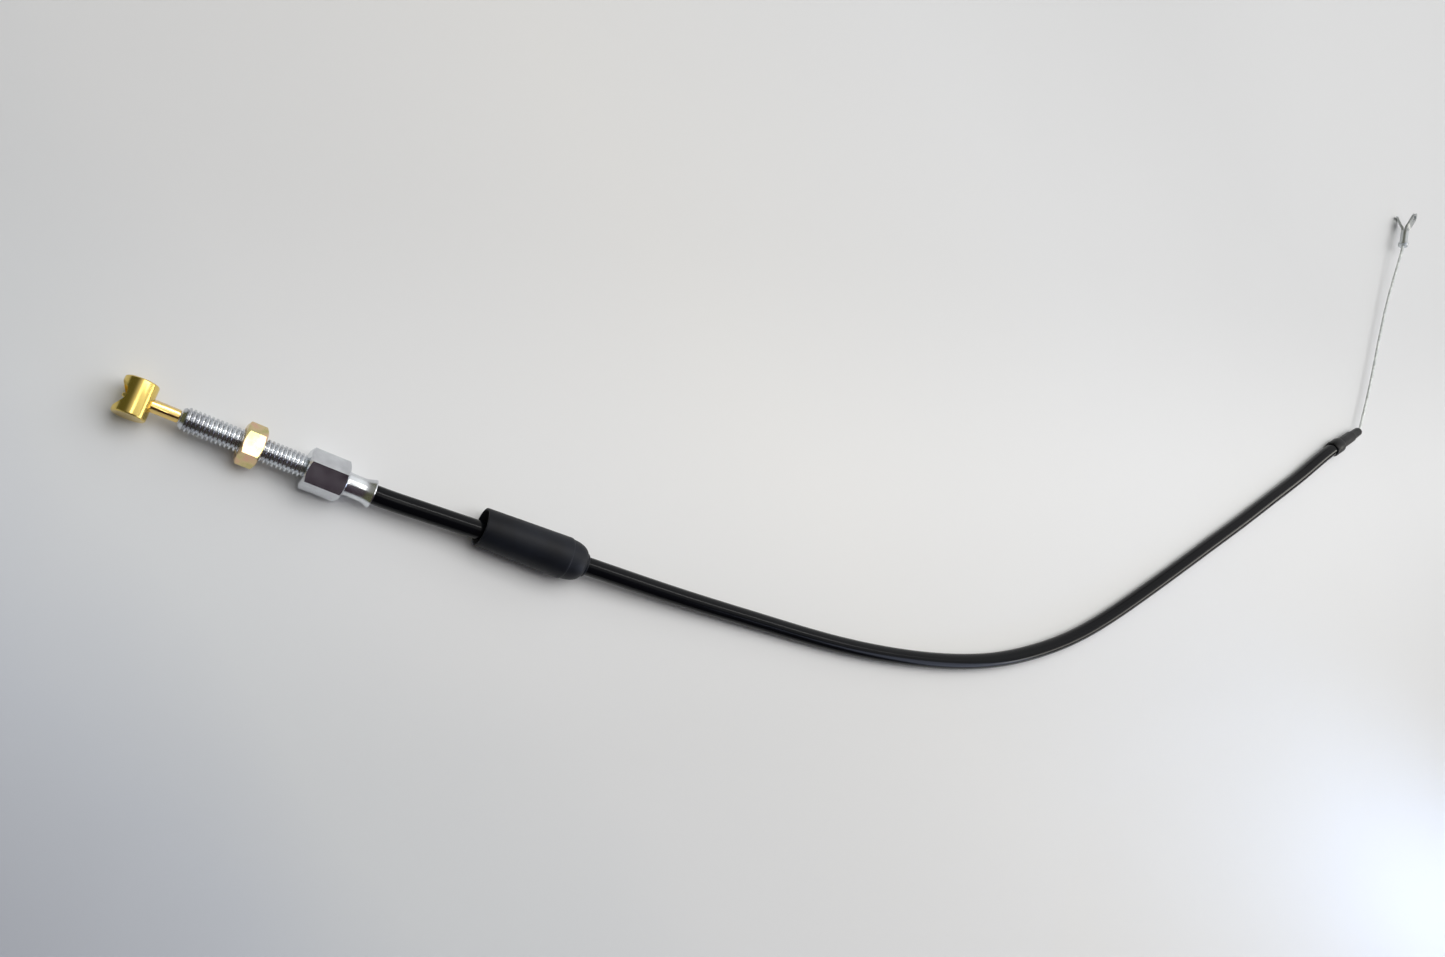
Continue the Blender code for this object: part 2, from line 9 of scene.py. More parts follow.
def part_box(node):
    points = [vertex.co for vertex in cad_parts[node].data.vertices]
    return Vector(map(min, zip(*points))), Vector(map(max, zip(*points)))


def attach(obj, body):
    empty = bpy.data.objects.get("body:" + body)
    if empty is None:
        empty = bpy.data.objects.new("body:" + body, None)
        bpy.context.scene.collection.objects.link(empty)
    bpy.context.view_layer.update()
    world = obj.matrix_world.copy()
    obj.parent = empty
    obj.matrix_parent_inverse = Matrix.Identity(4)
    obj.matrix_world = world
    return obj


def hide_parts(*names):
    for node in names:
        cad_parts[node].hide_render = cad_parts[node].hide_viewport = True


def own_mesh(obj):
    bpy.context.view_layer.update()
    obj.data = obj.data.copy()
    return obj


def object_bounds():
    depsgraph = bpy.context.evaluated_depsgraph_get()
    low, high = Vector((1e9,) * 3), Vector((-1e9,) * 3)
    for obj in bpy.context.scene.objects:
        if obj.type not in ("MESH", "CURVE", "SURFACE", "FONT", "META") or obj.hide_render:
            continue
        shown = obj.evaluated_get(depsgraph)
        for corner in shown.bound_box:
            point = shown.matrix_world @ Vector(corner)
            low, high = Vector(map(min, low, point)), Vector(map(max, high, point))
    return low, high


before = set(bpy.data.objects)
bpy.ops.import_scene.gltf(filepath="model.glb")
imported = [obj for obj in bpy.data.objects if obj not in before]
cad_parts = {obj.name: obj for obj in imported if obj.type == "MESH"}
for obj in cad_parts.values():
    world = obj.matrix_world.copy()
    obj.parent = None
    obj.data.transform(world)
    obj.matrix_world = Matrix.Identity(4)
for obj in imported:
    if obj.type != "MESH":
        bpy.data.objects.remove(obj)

cad_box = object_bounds()

# Camera
# The photograph looks steeply down on a table from beside the barrel. Places in this file are
# in millimetres from the table under the middle of the barrel, and at() puts them in the frame.
AXIS_HEIGHT = 7.193
barrel_low, barrel_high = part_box("brass_barrel")
HOME = (barrel_low + barrel_high) / 2


def at(x, y, z):
    return HOME + Vector((x, y, z - AXIS_HEIGHT)) * 0.001


camera = bpy.data.objects.new("camera", bpy.data.cameras.new("camera"))
bpy.context.scene.collection.objects.link(camera)
look_right = Vector((0.815863, 0.278966, 0.506503))
look_up = Vector((-0.380483, 0.918583, 0.106947))
look_back = Vector((-0.435431, -0.279971, 0.855580))
camera.matrix_world = Matrix.Translation(at(-10.8, -80.1, 427.0)) @ Matrix(
    (look_right, look_up, look_back)).transposed().to_4x4()
SENSOR_MM, PHOTO_WIDTH, FOCAL_PIXELS = 36.0, 1445, 1250
camera.data.sensor_width = SENSOR_MM
camera.data.lens = FOCAL_PIXELS / PHOTO_WIDTH * SENSOR_MM
camera.data.clip_start = 0.01
bpy.context.scene.camera = camera

# Table and light
# A pale matt laminate table top in a room with soft lamps. The room beyond the cable is light
# and the side behind the camera is dark, so that each bright face of the fittings has a dark
# one next to it.


def tint(code):
    """sRGB hex to linear colour."""
    parts = [int(code[i:i + 2], 16) / 255 for i in (1, 3, 5)]
    return [c / 12.92 if c <= 0.04045 else ((c + 0.055) / 1.055) ** 2.4 for c in parts] + [1.0]


def start_material(name, colour, rough, metal=0.0):
    """New Principled material, with its tree and its shader."""
    mat = bpy.data.materials.new(name)
    mat.use_nodes = True
    shader = mat.node_tree.nodes["Principled BSDF"]
    shader.inputs["Base Color"].default_value = tint(colour)
    shader.inputs["Roughness"].default_value = rough
    shader.inputs["Metallic"].default_value = metal
    return mat, mat.node_tree, shader


def add(tree, kind, settings=(), links=()):
    """Add a node, set its properties or sockets, and link its inputs."""
    made = tree.nodes.new(kind)
    for key, value in dict(settings).items():
        if isinstance(key, str) and hasattr(made, key):
            setattr(made, key, value)
        else:
            made.inputs[key].default_value = value
    for key, source in dict(links).items():
        tree.links.new(source, made.inputs[key])
    return made


def noise(tree, vector, scale, detail):
    """Value of a noise texture, with its scale in noises to the metre."""
    made = add(tree, "ShaderNodeTexNoise", {"Scale": scale, "Detail": detail}, {"Vector": vector})
    return made.outputs["Fac"]


def graded(tree, value, stops):
    """Colour that follows a value from the lowest stop to the highest."""
    ramp = add(tree, "ShaderNodeValToRGB", {}, {"Fac": value})
    marks = ramp.color_ramp.elements
    for index, (spot, code) in ((0, stops[0]), (1, stops[-1])):
        marks[index].position = spot
        marks[index].color = tint(code)
    for spot, code in stops[1:-1]:
        marks.new(spot).color = tint(code)
    return ramp.outputs["Color"]


def relief(tree, shader, height, strength, distance):
    """Fine relief in the surface, from a value."""
    bump = add(tree, "ShaderNodeBump", {"Strength": strength, "Distance": distance}, {"Height": height})
    tree.links.new(bump.outputs["Normal"], shader.inputs["Normal"])


table_mat, tree, shader = start_material("table_laminate", "#D9DADB", 0.6)
shader.inputs["Specular IOR Level"].default_value = 0.25
place = add(tree, "ShaderNodeTexCoord").outputs["Object"]
# The laminate is painted darker and cooler towards its near left corner, as painted shade and cool light,
# with a faint grain.
middle = at(0, 0, 0)
shade_lean = add(tree, "ShaderNodeVectorMath", {"operation": "DOT_PRODUCT", 1: (0.55, 0.83, 0.0)},
           {0: place})
shade_lean_zero = middle.x * 0.55 + middle.y * 0.83
spread = add(tree, "ShaderNodeMapRange", {"From Min": shade_lean_zero - 0.13, "From Max": shade_lean_zero + 0.57},
             {"Value": shade_lean.outputs["Value"]})
grain_and_painted_shade = add(tree, "ShaderNodeMath", {"operation": "MULTIPLY_ADD", 1: 0.08},
            {0: noise(tree, place, 7.0, 3.0), 2: spread.outputs["Result"]})
# This ramp paints shade and cool light across the table, darkest and bluest at its near left end.
painted_shade_tone = graded(tree, grain_and_painted_shade.outputs["Value"], (
    (0.04, "#BEC2CC"), (0.12, "#D0D4DC"), (0.19, "#DFE1E4"), (0.3, "#E6E6E7"), (0.5, "#E6E5E4"),
    (0.76, "#DEDEDF"), (1.0, "#D4D4D5")))
# Painted light makes it lightest in a broad band under the cable, and lighter to the right than to the
# left.
light_rightward = add(tree, "ShaderNodeVectorMath", {"operation": "DOT_PRODUCT", 1: (0.946, 0.323, 0.0)},
               {0: place})
light_rightward_zero = middle.x * 0.946 + middle.y * 0.323
painted_rightward_light = add(tree, "ShaderNodeMapRange",
            {"From Min": light_rightward_zero - 0.04, "From Max": light_rightward_zero + 0.6, "To Min": 0.86},
            {"Value": light_rightward.outputs["Value"]})
light_band_across = add(tree, "ShaderNodeVectorMath", {"operation": "DOT_PRODUCT", 1: (-0.383, 0.924, 0.0)},
           {0: place})
light_band_zero = middle.x * -0.383 + middle.y * 0.924
light_band_offset = add(tree, "ShaderNodeMath", {"operation": "SUBTRACT", 1: light_band_zero - 0.025},
            {0: light_band_across.outputs["Value"]})
light_band_gap = add(tree, "ShaderNodeMath", {"operation": "ABSOLUTE"}, {0: light_band_offset.outputs["Value"]})
painted_light_band = add(tree, "ShaderNodeMapRange",
           {"interpolation_type": "SMOOTHSTEP", "From Max": 0.11, "To Min": 1.21, "To Max": 1.1},
           {"Value": light_band_gap.outputs["Value"]})
painted_light_share = add(tree, "ShaderNodeMath", {"operation": "MULTIPLY"},
            {0: painted_rightward_light.outputs["Result"], 1: painted_light_band.outputs["Result"]})
# The painted light and shade scale the table's colour.
painted_light_colour = add(tree, "ShaderNodeVectorMath", {"operation": "SCALE"},
            {0: painted_shade_tone, "Scale": painted_light_share.outputs["Value"]})
tree.links.new(painted_light_colour.outputs["Vector"], shader.inputs["Base Color"])
relief(tree, shader, noise(tree, place, 900.0, 2.0), 0.05, 0.0002)
slab = bmesh.new()
bmesh.ops.create_grid(slab, x_segments=1, y_segments=1, size=2.2)
bmesh.ops.translate(slab, verts=slab.verts, vec=(0, 0, cad_box[0][2]))
table_mesh = bpy.data.meshes.new("table_top")
slab.to_mesh(table_mesh)
slab.free()
table_top = bpy.data.objects.new("table_top", table_mesh)
bpy.context.scene.collection.objects.link(table_top)
table_mesh.materials.append(table_mat)


def lamp(name, place_mm, aim_mm, size, power, colour, glints=True, wash=True, spread=180):
    """Rectangular soft lamp at a place, aimed at another, for glints, for the wash, or for both."""
    data = bpy.data.lights.new(name, "AREA")
    data.shape = "RECTANGLE"
    data.size, data.size_y = size
    data.energy = power
    data.color = tint(colour)[:3]
    data.spread = math.radians(spread)
    obj = bpy.data.objects.new(name, data)
    obj.location = at(*place_mm)
    obj.rotation_euler = (at(*aim_mm) - obj.location).to_track_quat("-Z", "Y").to_euler()
    obj.visible_glossy = glints
    obj.visible_diffuse = wash
    bpy.context.scene.collection.objects.link(obj)


# The fill and the far wash light the table and leave no glint. Two panels and a strip overhead
# give the fittings their bright faces. A cool lamp at the right gives a glint and a weaker wash,
# a small window patch lies beyond them, and a long lamp stands low past the ferrule.
lamp("fill_softbox", (440, 370, 900), (440, 370, 0), (1.5, 0.75), 6.1, "#FEFFFE", glints=False)
lamp("far_wash", (800, 600, 500), (500, 400, 0), (0.4, 0.4), 0.5, "#FEFFFE", glints=False)
lamp("overhead_panel", (127, 171, 880), (127, 171, 0), (0.215, 0.51), 0.5, "#FFFDFA")
lamp("small_panel", (132, 18, 870), (132, 18, 0), (0.12, 0.12), 0.2, "#FFFDFA", wash=False)
lamp("far_strip", (480, 470, 860), (480, 470, 0), (0.84, 0.11), 2.8, "#FFFDFA", wash=False)
lamp("right_lamp", (900, -250, 300), (500, -50, 0), (0.3, 0.6), 2.1, "#DAE4FF", wash=False)
lamp("right_wash", (900, -250, 300), (500, -50, 0), (0.3, 0.6), 0.8, "#A9C6FF", glints=False)
lamp("window_patch", (1100, 10, 200), (690, 10, 0), (0.06, 0.06), 0.05, "#BBD5FF", glints=False,
     spread=25)
lamp("low_strip", (950, 100, 235), (0, 0, 5), (0.6, 0.14), 1.5, "#FFFBF0", wash=False)
world = bpy.data.worlds.new("room")
world.use_nodes = True
bpy.context.scene.world = world
tree = world.node_tree
towards = add(tree, "ShaderNodeTexCoord")


def room_side(normal, soft):
    """How far a direction lies on the lit side of the room, from 0 to 1."""
    along = add(tree, "ShaderNodeVectorMath", {"operation": "DOT_PRODUCT", 1: normal},
                {0: towards.outputs["Generated"]})
    return add(tree, "ShaderNodeMapRange",
               {"interpolation_type": "SMOOTHSTEP", "From Min": -soft, "From Max": soft},
               {"Value": along.outputs["Value"]}).outputs["Result"]


beyond = room_side((0, math.cos(math.radians(8.5)), math.sin(math.radians(8.5))), 0.07)
rightward = room_side((math.cos(math.radians(20)), 0, math.sin(math.radians(20))), 0.24)
high_up = room_side(Vector((-0.5, 0.5, 0.87)).normalized(), 0.08)
lit = add(tree, "ShaderNodeMath", {"operation": "MULTIPLY"}, {0: beyond, 1: rightward})
open_lit = add(tree, "ShaderNodeMath", {"operation": "MULTIPLY"}, {0: lit.outputs["Value"], 1: high_up})
slope = add(tree, "ShaderNodeVectorMath", {"operation": "DOT_PRODUCT", 1: (0.4, 0.3, 0.0)},
            {0: towards.outputs["Generated"]})
gain = add(tree, "ShaderNodeMath", {"operation": "ADD", 1: 0.6}, {0: slope.outputs["Value"]})
wall = add(tree, "ShaderNodeMath", {"operation": "MULTIPLY"},
           {0: open_lit.outputs["Value"], 1: gain.outputs["Value"]})
gloom = add(tree, "ShaderNodeMix", {"data_type": "RGBA", 6: tint("#5A5A40"), 7: tint("#3A2E36")},
            {0: rightward})
room = add(tree, "ShaderNodeMix", {"data_type": "RGBA", 7: (1.0, 1.0, 1.0, 1.0)},
           {0: wall.outputs["Value"], 6: gloom.outputs[2]})
# Past the table's edge the camera sees a pale backdrop; the room only shows in reflections.
seen = add(tree, "ShaderNodeLightPath")
backdrop = add(tree, "ShaderNodeMix", {"data_type": "RGBA", 7: tint("#D9DBDD")},
               {0: seen.outputs["Is Camera Ray"], 6: room.outputs[2]})
tree.links.new(backdrop.outputs[2], tree.nodes["Background"].inputs["Color"])
bpy.context.scene.view_settings.view_transform = "Standard"

# Black outer sheath
# An extruded PVC jacket, 6.8 mm across, over the wound conduit. It is pushed into the crimped
# end of the adjuster and into the ferrule, and lies in one long bend.
SHEATH_R = 3.4
BEND = ((14.5, 0.55, 0.5), (27.0, 1.25, 0.9), (35.4, 1.75, 1.0), (52.0, 2.75, 1.0),
        (70.0, 3.83, 1.0), (80.4, 4.45, 1.0))
RUN = ((92.5, 5.2, 7.4), (109.2, 6.3, 6.4), (126.6, 7.6, 5.4), (144.7, 9.2, 4.5),
       (163.4, 10.9, 3.8), (182.4, 12.6, 3.5), (202.0, 14.8, 3.5), (222.2, 18.0, 3.5),
       (243.0, 22.4, 3.5), (264.2, 28.3, 3.5), (285.3, 36.3, 3.5), (306.2, 47.3, 3.5),
       (326.8, 61.2, 3.5), (346.4, 78.1, 3.5), (365.5, 96.8, 3.5), (384.9, 116.5, 3.5),
       (404.6, 136.8, 3.5), (424.9, 157.7, 3.5), (445.2, 179.3, 3.5), (466.4, 202.2, 3.6),
       (486.0, 224.6, 4.2))
MOUTH_X = 78.0
NECK_Z = 7.999
FERRULE_AXIS = Vector((math.cos(math.radians(45)), math.sin(math.radians(45)), 0))


def smooth_path(points, start_dir, end_dir, spacing):
    """Points at even spacing on a cubic spline through the given points."""
    pts = np.array([tuple(p) for p in points])
    step = np.linalg.norm(np.diff(pts, axis=0), axis=1)
    last = len(pts) - 1
    mat = np.zeros((last + 1, last + 1))
    rhs = np.zeros((last + 1, 3))
    mat[0, 0] = mat[last, last] = 1
    rhs[0] = tuple(start_dir.normalized())
    rhs[last] = tuple(end_dir.normalized())
    for i in range(1, last):
        before, after = step[i - 1], step[i]
        mat[i, i - 1:i + 2] = after, 2 * (before + after), before
        rhs[i] = 3 * (after * (pts[i] - pts[i - 1]) / before + before * (pts[i + 1] - pts[i]) / after)
    slope = np.linalg.solve(mat, rhs)
    fine = []
    for i in range(last):
        for t in np.linspace(0, 1, 24, endpoint=False):
            fine.append((2 * t**3 - 3 * t**2 + 1) * pts[i] + (t**3 - 2 * t**2 + t) * step[i] * slope[i]
                        + (3 * t**2 - 2 * t**3) * pts[i + 1] + (t**3 - t**2) * step[i] * slope[i + 1])
    fine = np.array(fine + [pts[last]])
    run = np.concatenate([[0], np.cumsum(np.linalg.norm(np.diff(fine, axis=0), axis=1))])
    even = np.linspace(0, run[-1], max(2, round(run[-1] / spacing)) + 1)
    return [Vector([np.interp(s, run, fine[:, c]) for c in range(3)]) for s in even]


def sweep(bm, path, radii, turn_per_mm=0.0):
    """Extrude a ring of the given radii along a path, turning it as it goes."""
    count = len(radii)
    along = bm.verts.layers.float.get("along") or bm.verts.layers.float.new("along")
    gone = 0.0

    def ring_places(j):
        forward = (path[min(j + 1, len(path) - 1)] - path[max(j - 1, 0)]).normalized()
        side = forward.cross(Vector((0, 0, 1))).normalized()
        up = side.cross(forward)
        return [path[j] + (up * math.cos(a) + side * math.sin(a)) * radii[i]
                for i in range(count) for a in [2 * math.pi * i / count + gone * turn_per_mm]]

    ring = bmesh.ops.create_circle(bm, segments=count, radius=1.0)["verts"]
    edges = [e for e in bm.edges if e.verts[0] in ring and e.verts[1] in ring]
    for vert, spot in zip(ring, ring_places(0)):
        vert.co = spot
        vert[along] = 0.0
    for j in range(1, len(path)):
        gone += (path[j] - path[j - 1]).length
        made = bmesh.ops.extrude_edge_only(bm, edges=edges)["geom"]
        edges = [g for g in made if isinstance(g, bmesh.types.BMEdge)]
        fresh = [g for g in made if isinstance(g, bmesh.types.BMVert)]
        spots = ring_places(j)
        for vert, spot in zip(fresh, spots):
            vert.co = spot
            vert[along] = gone
    return ring, fresh


def settle(bm, name, mat, sharp=35, base=None):
    """Put a shape made in millimetres into the frame, as one finished object."""
    origin = at(0, 0, 0) if base is None else base
    bmesh.ops.remove_doubles(bm, verts=bm.verts, dist=1e-5)
    bmesh.ops.recalc_face_normals(bm, faces=bm.faces)
    bmesh.ops.transform(bm, matrix=Matrix.Translation(origin) @ Matrix.Scale(0.001, 4), verts=bm.verts)
    mesh = bpy.data.meshes.new(name)
    bm.to_mesh(mesh)
    bm.free()
    mesh.shade_smooth()
    mesh.set_sharp_from_angle(angle=math.radians(sharp))
    mesh.materials.append(mat)
    obj = bpy.data.objects.new(name, mesh)
    bpy.context.scene.collection.objects.link(obj)
    return obj


def uneven_gloss(tree, shader, value, low, high):
    """Roughness that drifts between two levels with a value."""
    level = add(tree, "ShaderNodeMapRange", {"To Min": low, "To Max": high}, {"Value": value})
    tree.links.new(level.outputs["Result"], shader.inputs["Roughness"])


mouth = Vector((MOUTH_X + 0.3, 0, AXIS_HEIGHT))
bend = [Vector((MOUTH_X + x, y, AXIS_HEIGHT + (NECK_Z - AXIS_HEIGHT) * z)) for x, y, z in BEND]
run = [Vector((MOUTH_X + x, y, z)) for x, y, z in RUN]
ferrule_start = run[-1]
inside = [Vector((58.3 + 4.0 * k, 0, AXIS_HEIGHT)) for k in range(5)]
sheath_path = inside + smooth_path([mouth] + bend + run, Vector((1, 0, 0)), FERRULE_AXIS, 4.0)
sheath_path.append(ferrule_start + FERRULE_AXIS * 6.7)

# Extruded PVC is smooth and black, with a soft streak of light that breaks up a little.
pvc_mat, tree, shader = start_material("extruded_pvc", "#0A0B0E", 0.3)
shader.inputs["Specular IOR Level"].default_value = 0.14
place = add(tree, "ShaderNodeTexCoord").outputs["Object"]
uneven_gloss(tree, shader, noise(tree, place, 120.0, 4.0), 0.1, 0.22)
relief(tree, shader, noise(tree, place, 1400.0, 2.0), 0.06, 0.0002)

bm = bmesh.new()
outer_a, outer_b = sweep(bm, sheath_path, [SHEATH_R] * 32)
inner_a, inner_b = sweep(bm, sheath_path, [SHEATH_R - 0.6] * 32)
for pair in ((outer_a, inner_a), (outer_b, inner_b)):
    rim = [e for e in bm.edges
           if e.is_boundary and any(e.verts[0] in p and e.verts[1] in p for p in pair)]
    bmesh.ops.bridge_loops(bm, edges=rim)
sheath = settle(bm, "sheath_jacket", pvc_mat, 60)
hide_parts("outer_sheath")
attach(sheath, "cable")

# Bare inner wire
# One 1.6 mm strand of twisted galvanised wires. It comes out of the ferrule's tip, bends at
# once and runs to the fork, clear of the table.
WIRE_R = 0.8
FERRULE_LENGTH = 28.8
ferrule_tip = ferrule_start + FERRULE_AXIS * FERRULE_LENGTH
FORK_TURN, FORK_TILT, FORK_ROLL = (math.radians(a) for a in (85.0, -5.0, 18.0))
fork_flat = Vector((math.cos(FORK_TURN), math.sin(FORK_TURN), 0))
fork_axis = fork_flat * math.cos(FORK_TILT) + Vector((0, 0, math.sin(FORK_TILT)))
fork_start = Vector((ferrule_tip.x + 10.6, ferrule_tip.y + 126.4, 7.659))
BARE = ((1.6, 6.5, 4.2), (3.0, 19.0, 4.3), (5.8, 64.0, 4.7), (8.2, 98.0, 5.8))
bare_points = [ferrule_tip + FERRULE_AXIS * 0.3]
bare_points += [Vector((ferrule_tip.x + x, ferrule_tip.y + y, z)) for x, y, z in BARE]
bare_points.append(fork_start - fork_axis * 0.3)
bare_path = smooth_path(bare_points, Vector((0.5, 1.0, 0)), Vector((fork_flat.x, fork_flat.y, 0.02)), 0.8)

# Galvanised wire is light grey and half dull, with darker patches among its glints.
strand_mat, tree, shader = start_material("galvanised_strand", "#D2D6D5", 0.45, 0.55)
place = add(tree, "ShaderNodeTexCoord").outputs["Object"]
shade = graded(tree, noise(tree, place, 400.0, 3.0), ((0.3, "#BCC1C1"), (0.7, "#E6E9E8")))
tree.links.new(shade, shader.inputs["Base Color"])

# Twelve wires show round the strand, and each goes once round it in 14 mm.
SHOWN_WIRES, LAY_MM, ROUND = 12, 14, 72
lobes = [WIRE_R - 0.07 * (1 - abs(math.sin(SHOWN_WIRES * math.pi * i / ROUND))) for i in range(ROUND)]


def stranded(name, path, body):
    """Twisted strand along a path, closed at both ends."""
    shape = bmesh.new()
    ends = sweep(shape, path, lobes, 2 * math.pi / LAY_MM)
    for end in ends:
        rim = [e for e in shape.edges if e.is_boundary and e.verts[0] in end]
        bmesh.ops.contextual_create(shape, geom=rim)
    made = settle(shape, name, strand_mat, 60)
    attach(made, body)
    return made


bare_wire = stranded("bare_wire", bare_path, "rear_wire")
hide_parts("inner_wire_bare")

# Inner wire at the front
# The same strand, straight from the barrel through the brass sleeve and the adjuster's bore
# into the sheath. Only its stretch before the adjuster shows when the wire is pulled.
front_path = [Vector((x, 0, AXIS_HEIGHT)) for x in np.linspace(-2.2, 82.0, 106)]
front_wire = stranded("front_wire_strand", front_path, "front_wire")
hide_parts("inner_wire_front")
for hidden in ("inner_wire_held", "spiral_conduit", "sheath_liner"):
    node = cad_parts[hidden]
    node.data.materials.clear()
# Clear nylon looks milky, with a slightly uneven sheen.
liner_mat, tree, shader = start_material("clear_nylon_liner", "#D8D8D0", 0.45)
haze = add(tree, "ShaderNodeTexNoise", {"Scale": 300.0})
uneven_gloss(tree, shader, haze.outputs["Fac"], 0.4, 0.55)
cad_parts["inner_wire_held"].data.materials.append(strand_mat)
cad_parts["spiral_conduit"].data.materials.append(strand_mat)
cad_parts["sheath_liner"].data.materials.append(liner_mat)

# Brass barrel
# A pin turned from free-cutting brass, 10.5 mm across, which sits in the lever. Its edges are
# broken, and a cup bored into one side holds the soldered end of the wire.


def turn(bm, profile, steps=64):
    """Spin a closed outline of (along, radius) about the X axis."""
    verts = [bm.verts.new((x, 0, r)) for x, r in profile]
    edges = [bm.edges.new((verts[i], verts[(i + 1) % len(verts)])) for i in range(len(verts))]
    bmesh.ops.spin(bm, geom=verts + edges, cent=(0, 0, 0), axis=(1, 0, 0), angle=2 * math.pi,
                   steps=steps, use_merge=True)


def turn_solid(bm, profile, steps=64):
    """Spin an open outline that starts and ends on the X axis."""
    verts = [bm.verts.new((x, 0, r)) for x, r in profile]
    edges = [bm.edges.new(pair) for pair in zip(verts, verts[1:])]
    bmesh.ops.spin(bm, geom=verts + edges, cent=(0, 0, 0), axis=(1, 0, 0), angle=2 * math.pi,
                   steps=steps, use_merge=True)
    bmesh.ops.remove_doubles(bm, verts=bm.verts, dist=1e-5)
    bmesh.ops.recalc_face_normals(bm, faces=bm.faces)


def loose(bm, name):
    """Helper object for a cut, which is removed after it."""
    mesh = bpy.data.meshes.new(name)
    bm.to_mesh(mesh)
    bm.free()
    obj = bpy.data.objects.new(name, mesh)
    bpy.context.scene.collection.objects.link(obj)
    return obj


def carve(target, tools):
    """Apply cuts, unions or crossings to a helper object, and give its shape back as a bmesh."""
    for tool, kind in tools:
        mod = target.modifiers.new(kind, "BOOLEAN")
        mod.operation, mod.solver, mod.object = kind, "EXACT", tool
    bpy.context.view_layer.update()
    done = bpy.data.meshes.new_from_object(target.evaluated_get(bpy.context.evaluated_depsgraph_get()))
    shape = bmesh.new()
    shape.from_mesh(done)
    for gone in [target] + [t for t, _ in tools]:
        bpy.data.objects.remove(gone, do_unlink=True)
    return shape


def break_edges(obj, name, width, angle):
    """Small bevel, in metres, along every edge sharper than an angle in degrees."""
    edge = obj.modifiers.new(name, "BEVEL")
    edge.harden_normals = True
    edge.width, edge.segments, edge.limit_method = width, 2, "ANGLE"
    edge.angle_limit = math.radians(angle)


# Turned brass is bright yellow, with satin highlights that smudges from handling break up.
brass_mat, tree, shader = start_material("turned_brass", "#E8CC74", 0.2, 1.0)
place = add(tree, "ShaderNodeTexCoord").outputs["Object"]
# Turning marks go round the barrel, a quarter of a millimetre apart, so they vary along Y alone.
along_y = add(tree, "ShaderNodeMapping", {"Scale": (40, 4000, 40)}, {"Vector": place})
relief(tree, shader, noise(tree, along_y.outputs["Vector"], 1.0, 2.0), 0.10, 0.0001)
uneven_gloss(tree, shader, noise(tree, place, 160.0, 4.0), 0.17, 0.29)

bm = bmesh.new()
turn_solid(bm, [(-6.0, 0), (-6.0, 4.85), (-5.92, 4.97), (-5.65, 5.22), (-5.5, 5.25), (5.5, 5.25),
                (5.65, 5.22), (5.92, 4.97), (6.0, 4.85), (6.0, 0)], 96)
bmesh.ops.rotate(bm, verts=bm.verts, cent=(0, 0, 0), matrix=Matrix.Rotation(math.pi / 2, 3, "Z"))
body = loose(bm, "barrel_body")
bm = bmesh.new()
BORE_R = 1.2
turn_solid(bm, [(-7.5, 0), (-7.5, 4.45), (-3.0, 4.4), (-2.7, 4.2), (-2.45, 3.4), (-2.25, 1.6),
                (-2.2, BORE_R), (3.55, BORE_R), (3.55, 2.35), (7.0, 2.35), (7.0, 0)], 96)
cup = loose(bm, "barrel_cup")
bm = carve(body, [(cup, "DIFFERENCE")])
barrel = settle(bm, "barrel", brass_mat, 30, base=at(0, 0, AXIS_HEIGHT))
break_edges(barrel, "broken_edge", 0.00012, 40)
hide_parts("brass_barrel")
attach(barrel, "front_wire")

# Solder bead
# Bright solder that wetted the wire's end and stands up from the bottom of the cup.
# Soft solder is bright and rippled, so its glints wander.
solder_mat, tree, shader = start_material("soft_solder", "#EFD68A", 0.3, 1.0)
place = add(tree, "ShaderNodeTexCoord").outputs["Object"]
relief(tree, shader, noise(tree, place, 900.0, 1.0), 0.3, 0.0002)
bm = bmesh.new()
turn_solid(bm, [(-4.0, 0), (-3.97, 0.3), (-3.85, 0.5), (-3.6, 0.68), (-3.1, 0.8), (-2.7, 1.0),
                (-2.35, 1.2), (-2.3, 0)], 32)
solder = settle(bm, "solder_bead", solder_mat, 60, base=at(0, 0, AXIS_HEIGHT))
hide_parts("wire_solder")
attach(solder, "front_wire")

# Brass sleeve
# A drawn brass tube, 4.4 mm across, pressed six-sided on the wire behind the barrel.
# Drawn brass is bright, and fine lines along the tube pull its glints out lengthwise.
drawn_mat, tree, shader = start_material("drawn_brass", "#F0CE80", 0.16, 1.0)
place = add(tree, "ShaderNodeTexCoord").outputs["Object"]
drawn = add(tree, "ShaderNodeMapping", {"Scale": (60, 3000, 3000)}, {"Vector": place})
lines = add(tree, "ShaderNodeTexNoise", {"Scale": 1.0}, {"Vector": drawn.outputs["Vector"]})
relief(tree, shader, lines.outputs["Fac"], 0.08, 0.0001)
bm = bmesh.new()
turn(bm, [(3.85, 2.1), (3.95, 2.2), (13.25, 2.2), (13.6, 1.95), (13.7, 1.7), (13.7, 1.0), (3.85, 1.0)], 72)
for vert in bm.verts:
    if 3.9 < vert.co.x < 13.5 and vert.co.yz.length > 2.0:
        turned_to = math.atan2(vert.co.y, vert.co.z) + math.radians(25)
        flat = 2.02 / math.cos((turned_to % (math.pi / 3)) - math.pi / 6)
        vert.co.yz *= min(1.0, flat / vert.co.yz.length)
sleeve = settle(bm, "wire_sleeve", drawn_mat, 35, base=at(0, 0, AXIS_HEIGHT))
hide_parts("wire_end_sleeve")
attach(sleeve, "front_wire")

# Adjuster
# One piece of bright zinc-plated steel: a rolled thread of 18 to the inch, a hexagon 12.7 mm
# across flats, and a tail drawn out as a tube and crimped on the sheath, with a flared rim.
PITCH, CREST_R = 1.41, 3.97
THREAD_START, HEX_START, HEX_END, HEX_LENGTH = 14.0, 54.5, 68.1, 13.6
ACROSS_FLATS, CORNER_R = 12.7, 7.42
HEX_ROLL = math.radians(-11.2)
